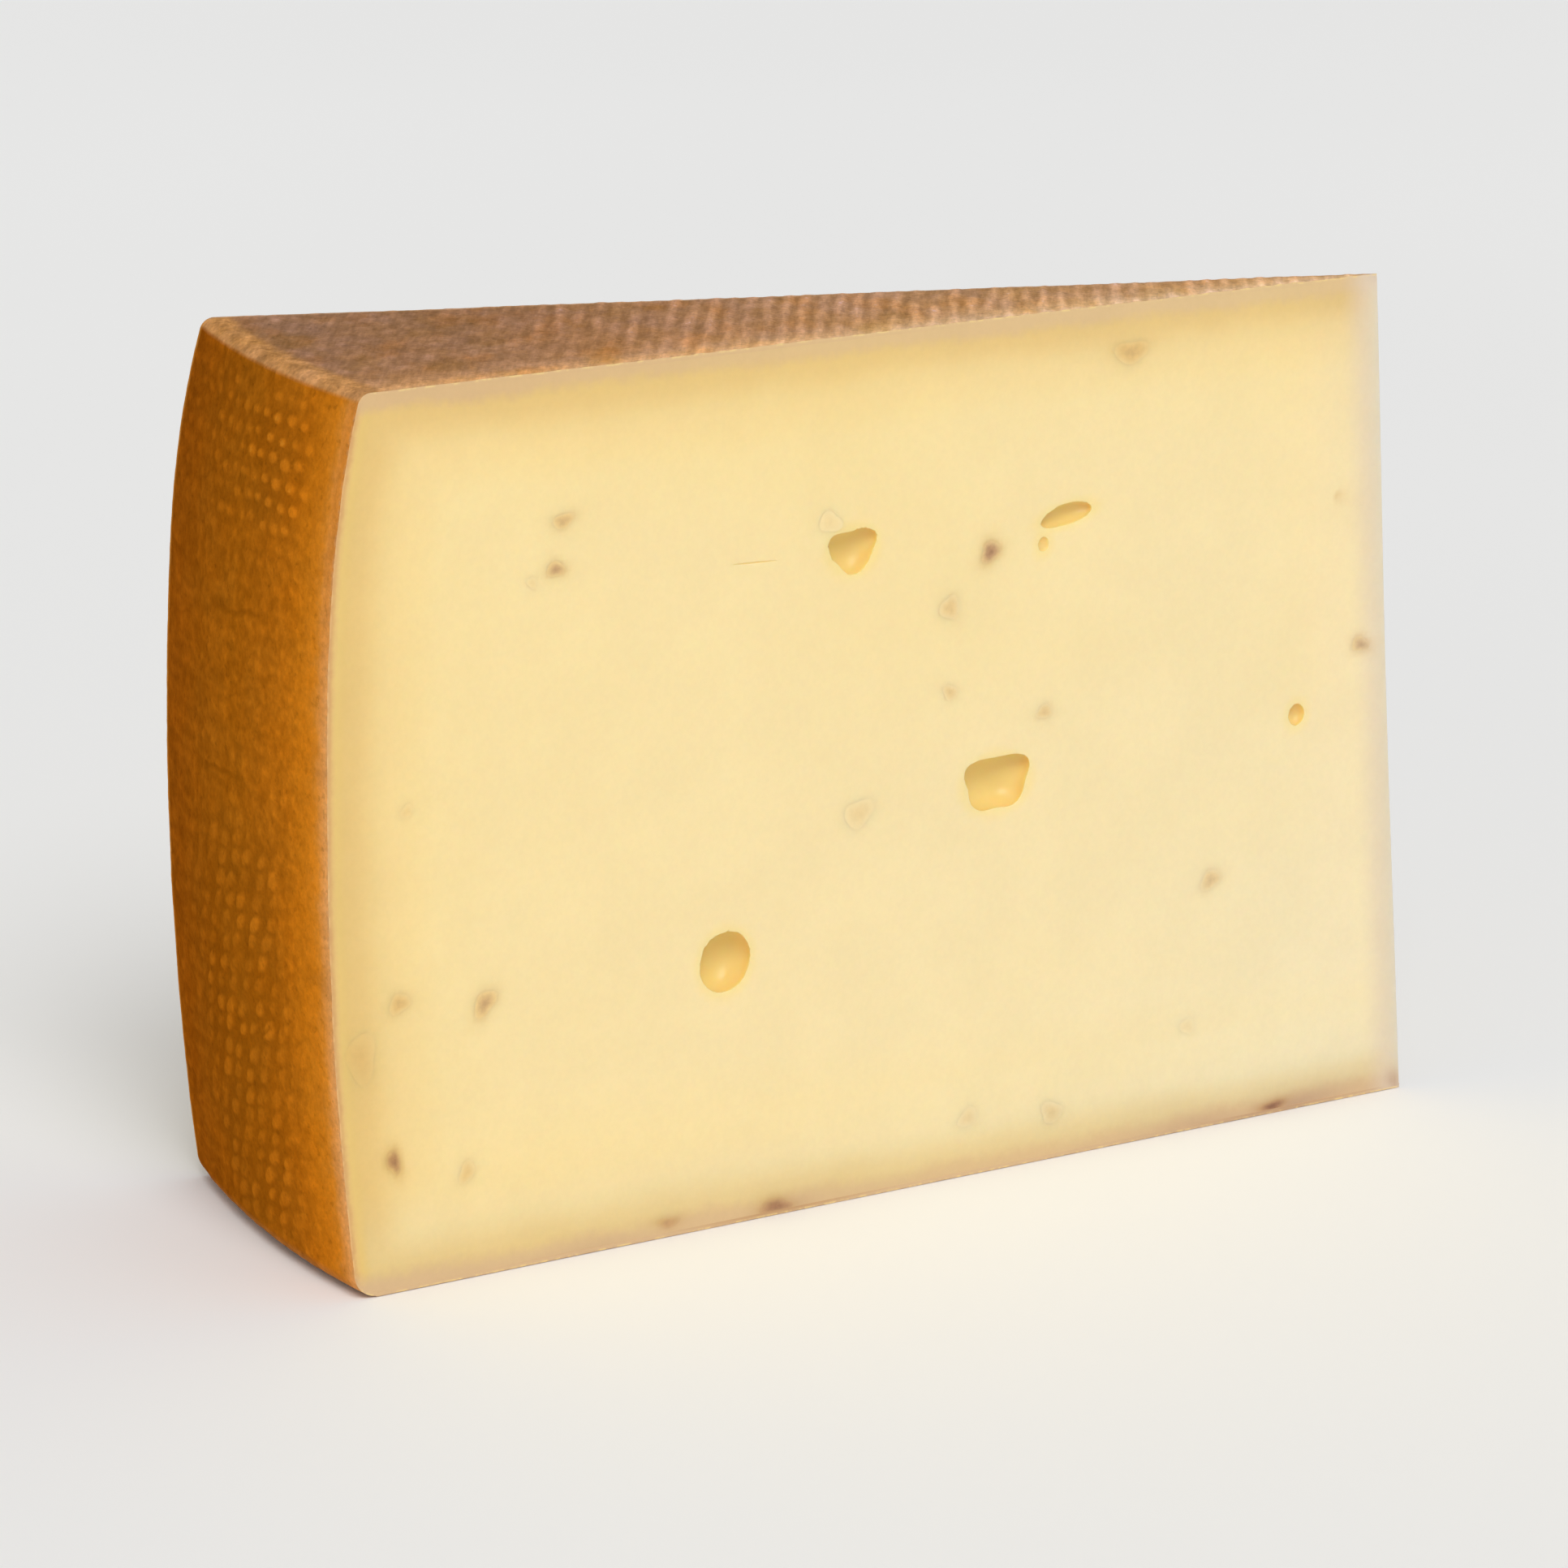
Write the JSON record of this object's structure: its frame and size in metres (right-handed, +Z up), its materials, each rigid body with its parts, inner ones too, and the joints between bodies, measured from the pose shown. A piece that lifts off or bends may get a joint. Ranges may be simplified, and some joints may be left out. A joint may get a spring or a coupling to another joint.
{
  "type": "porcini cheese wedge",
  "caption": "Wedge of semi-hard porcini cheese: two flat cut faces with eyes, a bulging rind heel, rind on top and bottom, and a thin front edge.",
  "frame": {"origin": "centre of the bounding box, at the underside that the wedge rests on", "axes": "+X along the wedge's length towards its thin edge, +Y from the straight front cut face towards the back cut face, +Z up"},
  "size_m": [0.1362, 0.0424, 0.09],
  "materials": {
    "paste": "satin, pale yellow, slightly translucent",
    "rind": "dry washed rind, orange brown, with a cloth imprint",
    "porcini": "matt brown pieces of mushroom"
  },
  "bodies": {
    "root": {"wedge": "paste"}
  },
  "joints": []
}
